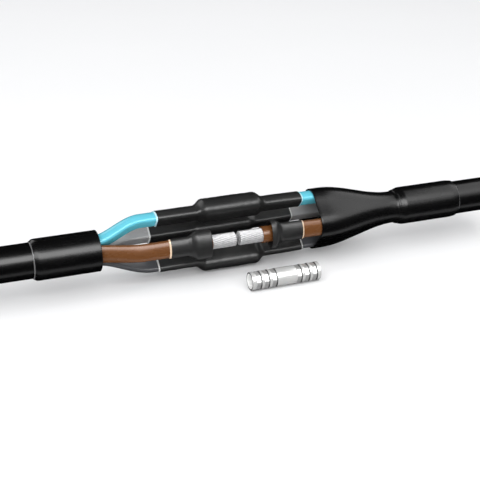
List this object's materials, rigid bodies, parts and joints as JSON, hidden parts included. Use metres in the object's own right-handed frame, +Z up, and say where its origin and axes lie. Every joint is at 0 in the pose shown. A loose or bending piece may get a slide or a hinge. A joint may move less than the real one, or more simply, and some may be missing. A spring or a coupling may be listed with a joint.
{
  "type": "heat-shrink cable joint",
  "caption": "Heat-shrink straight joint for a four-core low-voltage cable, its outer sleeve cut open to show the insulated crimp connections.",
  "frame": {"origin": "middle of the part's box, on the surface that it lies on", "axes": "+X along the cable to the piece of outer sleeve that bridges the cores, +Y to the back, away from the loose connector, +Z up"},
  "size_m": [0.64, 0.1279, 0.0844],
  "materials": {
    "cable_sheath": "glossy black",
    "cable_bedding": "matt dark grey",
    "core_blue": "satin light blue",
    "core_brown": "satin brown",
    "core_black": "satin charcoal",
    "core_grey": "satin mid grey",
    "conductor": "drawn, bright",
    "connector": "tinned, bright",
    "inner_sleeve": "satin dark grey",
    "outer_sleeve": "semi-gloss black",
    "adhesive": "waxy, translucent cream"
  },
  "bodies": {
    "root": {"cable_sheath_left": "cable_sheath", "cable_sheath_right": "cable_sheath", "cable_bedding_left": "cable_bedding", "cable_bedding_right": "cable_bedding", "blue_core_left": "core_blue", "blue_core_right": "core_blue", "brown_core_left": "core_brown", "brown_core_right": "core_brown", "black_core_left": "core_black", "black_core_right": "core_black", "grey_core_left": "core_grey", "grey_core_right": "core_grey", "blue_conductor_left": "conductor", "blue_conductor_right": "conductor", "brown_conductor_left": "conductor", "brown_conductor_right": "conductor", "black_conductor_left": "conductor", "black_conductor_right": "conductor", "grey_conductor_left": "conductor", "grey_conductor_right": "conductor", "blue_connector": "connector", "black_connector": "connector", "grey_connector": "connector", "brown_connector": "connector", "blue_inner_sleeve": "inner_sleeve", "black_inner_sleeve": "inner_sleeve", "grey_inner_sleeve": "inner_sleeve", "brown_inner_sleeve_left": "inner_sleeve", "brown_inner_sleeve_right": "inner_sleeve", "outer_sleeve_left": "outer_sleeve", "outer_sleeve_right": "outer_sleeve", "blue_bead_left": "adhesive", "blue_bead_right": "adhesive", "brown_bead_left": "adhesive", "brown_bead_right": "adhesive", "black_bead_left": "adhesive", "black_bead_right": "adhesive", "grey_bead_left": "adhesive", "grey_bead_right": "adhesive", "outer_bead_left": "adhesive", "outer_bead_right": "adhesive"}
  },
  "joints": []
}
